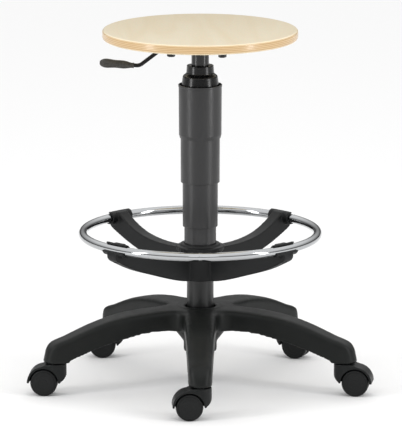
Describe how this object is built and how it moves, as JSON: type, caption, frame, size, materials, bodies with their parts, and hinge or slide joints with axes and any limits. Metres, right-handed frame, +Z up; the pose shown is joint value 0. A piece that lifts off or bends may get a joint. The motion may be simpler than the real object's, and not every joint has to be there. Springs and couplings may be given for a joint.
{
  "type": "swivel stool",
  "caption": "Round plywood seat on a gas lift with a telescopic cover, a chromed foot ring on a spider, and a star base on twin-wheel castors.",
  "frame": {"origin": "point on the floor on the column's axis", "axes": "+Z up along the column, -Y towards the leg that points at the viewer, +X to the viewer's right"},
  "size_m": [0.6401, 0.5537, 0.668],
  "materials": {
    "birch_plywood": "clear lacquered birch plywood",
    "cover_plastic": "satin moulded black plastic",
    "base_nylon": "fine grained glass-filled nylon",
    "spider_nylon": "fine grained nylon",
    "wheel_nylon": "hard smooth nylon",
    "black_painted_steel": "black powder coat",
    "chrome": "bright chromium plate",
    "zinc_steel": "zinc plated",
    "bearing_plastic": "acetal",
    "rubber": "moulded rubber"
  },
  "bodies": {
    "base": {"star_base": "base_nylon", "hub_ring": "zinc_steel", "outer_column": "black_painted_steel", "column_end_plate": "zinc_steel", "guide_bush": "bearing_plastic", "thrust_bearing": "zinc_steel", "cover_sleeve": "cover_plastic", "castor_front_stem": "zinc_steel", "castor_right_stem": "zinc_steel", "castor_rear_right_stem": "zinc_steel", "castor_rear_left_stem": "zinc_steel", "castor_left_stem": "zinc_steel"},
    "lift_rod": {"piston_rod": "zinc_steel", "piston": "bearing_plastic", "rubber_buffer": "rubber", "retaining_clip": "zinc_steel"},
    "seat": {"gas_cylinder": "black_painted_steel", "rod_guide": "bearing_plastic", "taper_socket": "black_painted_steel", "seat_plate": "black_painted_steel", "bolt_washers": "zinc_steel", "seat_bolts": "zinc_steel", "threaded_inserts": "zinc_steel", "seat_disc": "birch_plywood", "lever_bracket": "black_painted_steel", "cover_cap": "cover_plastic", "cover_tube_upper": "cover_plastic"},
    "lever": {"lever_rod": "black_painted_steel", "lever_grip": "spider_nylon", "lever_pin": "zinc_steel"},
    "valve": {"valve_button": "bearing_plastic"},
    "cover_middle": {"cover_tube_middle": "cover_plastic"},
    "cover_lower": {"cover_tube_lower": "cover_plastic"},
    "ring_clamp": {"clamp_collet": "spider_nylon"},
    "foot_ring": {"ring_spider": "spider_nylon", "foot_ring_tube": "chrome", "ring_screws": "zinc_steel"},
    "ring_nut": {"collar_nut": "spider_nylon"},
    "castor_front": {"castor_front_hood": "base_nylon", "castor_front_axle": "zinc_steel"},
    "castor_front_left": {"castor_front_wheel_left": "wheel_nylon"},
    "castor_front_right": {"castor_front_wheel_right": "wheel_nylon"},
    "castor_right": {"castor_right_hood": "base_nylon", "castor_right_axle": "zinc_steel"},
    "castor_right_left": {"castor_right_wheel_left": "wheel_nylon"},
    "castor_right_right": {"castor_right_wheel_right": "wheel_nylon"},
    "castor_rear_right": {"castor_rear_right_hood": "base_nylon", "castor_rear_right_axle": "zinc_steel"},
    "castor_rear_right_left": {"castor_rear_right_wheel_left": "wheel_nylon"},
    "castor_rear_right_right": {"castor_rear_right_wheel_right": "wheel_nylon"},
    "castor_rear_left": {"castor_rear_left_hood": "base_nylon", "castor_rear_left_axle": "zinc_steel"},
    "castor_rear_left_left": {"castor_rear_left_wheel_left": "wheel_nylon"},
    "castor_rear_left_right": {"castor_rear_left_wheel_right": "wheel_nylon"},
    "castor_left": {"castor_left_hood": "base_nylon", "castor_left_axle": "zinc_steel"},
    "castor_left_left": {"castor_left_wheel_left": "wheel_nylon"},
    "castor_left_right": {"castor_left_wheel_right": "wheel_nylon"}
  },
  "joints": [
    {"name": "seat_swivel", "type": "hinge", "parent": "base", "child": "lift_rod", "pos_m": [0, 0, 0.07], "axis": [0, 0, 1], "continuous": true},
    {"name": "seat_lift", "type": "slide", "parent": "lift_rod", "child": "seat", "axis": [0, 0, 1], "range_m": [-0.19, 0]},
    {"name": "lever_lift", "type": "hinge", "parent": "seat", "child": "lever", "pos_m": [-0.045, -0.044, 0.6434], "axis": [0, 1, 0], "range_deg": [0, 4.5], "stiffness_Nm_per_rad": 1.5, "springref_deg": -2.86},
    {"name": "valve_press", "type": "slide", "parent": "seat", "child": "valve", "axis": [0, 0, -1], "range_m": [0, 0.0037]},
    {"name": "cover_middle_slide", "type": "slide", "parent": "base", "child": "cover_middle", "axis": [0, 0, 1], "range_m": [-0.1072, 0]},
    {"name": "cover_lower_slide", "type": "slide", "parent": "base", "child": "cover_lower", "axis": [0, 0, 1], "range_m": [-0.0237, 0]},
    {"name": "ring_height", "type": "slide", "parent": "base", "child": "ring_clamp", "axis": [0, 0, 1], "range_m": [-0.04, 0]},
    {"name": "ring_turn", "type": "hinge", "parent": "ring_clamp", "child": "foot_ring", "pos_m": [0, 0, 0.22], "axis": [0, 0, 1], "continuous": true},
    {"name": "nut_turn", "type": "hinge", "parent": "foot_ring", "child": "ring_nut", "pos_m": [0, 0, 0.25], "axis": [0, 0, 1], "range_deg": [0, 120]},
    {"name": "castor_front_swivel", "type": "hinge", "parent": "base", "child": "castor_front", "pos_m": [0, -0.281, 0.06], "axis": [0, 0, 1], "continuous": true},
    {"name": "castor_front_left_roll", "type": "hinge", "parent": "castor_front", "child": "castor_front_left", "pos_m": [-0.01997, -0.28205, 0.025], "axis": [0.0523, -0.9986, 0], "continuous": true},
    {"name": "castor_front_right_roll", "type": "hinge", "parent": "castor_front", "child": "castor_front_right", "pos_m": [-0.01997, -0.28205, 0.025], "axis": [0.0523, -0.9986, 0], "continuous": true},
    {"name": "castor_right_swivel", "type": "hinge", "parent": "base", "child": "castor_right", "pos_m": [0.26725, -0.08683, 0.06], "axis": [0, 0, 1], "continuous": true},
    {"name": "castor_right_left_roll", "type": "hinge", "parent": "castor_right", "child": "castor_right_left", "pos_m": [0.28705, -0.08962, 0.025], "axis": [0.1392, 0.9903, 0], "continuous": true},
    {"name": "castor_right_right_roll", "type": "hinge", "parent": "castor_right", "child": "castor_right_right", "pos_m": [0.28705, -0.08962, 0.025], "axis": [0.1392, 0.9903, 0], "continuous": true},
    {"name": "castor_rear_right_swivel", "type": "hinge", "parent": "base", "child": "castor_rear_right", "pos_m": [0.16517, 0.22733, 0.06], "axis": [0, 0, 1], "continuous": true},
    {"name": "castor_rear_right_left_roll", "type": "hinge", "parent": "castor_rear_right", "child": "castor_rear_right_left", "pos_m": [0.18371, 0.21984, 0.025], "axis": [0.3746, 0.9272, 0], "continuous": true},
    {"name": "castor_rear_right_right_roll", "type": "hinge", "parent": "castor_rear_right", "child": "castor_rear_right_right", "pos_m": [0.18371, 0.21984, 0.025], "axis": [0.3746, 0.9272, 0], "continuous": true},
    {"name": "castor_rear_left_swivel", "type": "hinge", "parent": "base", "child": "castor_rear_left", "pos_m": [-0.16517, 0.22733, 0.06], "axis": [0, 0, 1], "continuous": true},
    {"name": "castor_rear_left_left_roll", "type": "hinge", "parent": "castor_rear_left", "child": "castor_rear_left_left", "pos_m": [-0.18515, 0.22803, 0.025], "axis": [-0.0349, -0.9994, 0], "continuous": true},
    {"name": "castor_rear_left_right_roll", "type": "hinge", "parent": "castor_rear_left", "child": "castor_rear_left_right", "pos_m": [-0.18515, 0.22803, 0.025], "axis": [-0.0349, -0.9994, 0], "continuous": true},
    {"name": "castor_left_swivel", "type": "hinge", "parent": "base", "child": "castor_left", "pos_m": [-0.26725, -0.08683, 0.06], "axis": [0, 0, 1], "continuous": true},
    {"name": "castor_left_left_roll", "type": "hinge", "parent": "castor_left", "child": "castor_left_left", "pos_m": [-0.2872, -0.08544, 0.025], "axis": [-0.0698, -0.9976, 0], "continuous": true},
    {"name": "castor_left_right_roll", "type": "hinge", "parent": "castor_left", "child": "castor_left_right", "pos_m": [-0.2872, -0.08544, 0.025], "axis": [-0.0698, -0.9976, 0], "continuous": true}
  ],
  "couplings": [
    {"joint": "valve_press", "follows": "lever_lift", "m_per_rad": 0.045},
    {"joint": "cover_middle_slide", "follows": "seat_lift", "ratio": 0.5632},
    {"joint": "cover_lower_slide", "follows": "seat_lift", "ratio": 0.1242}
  ]
}
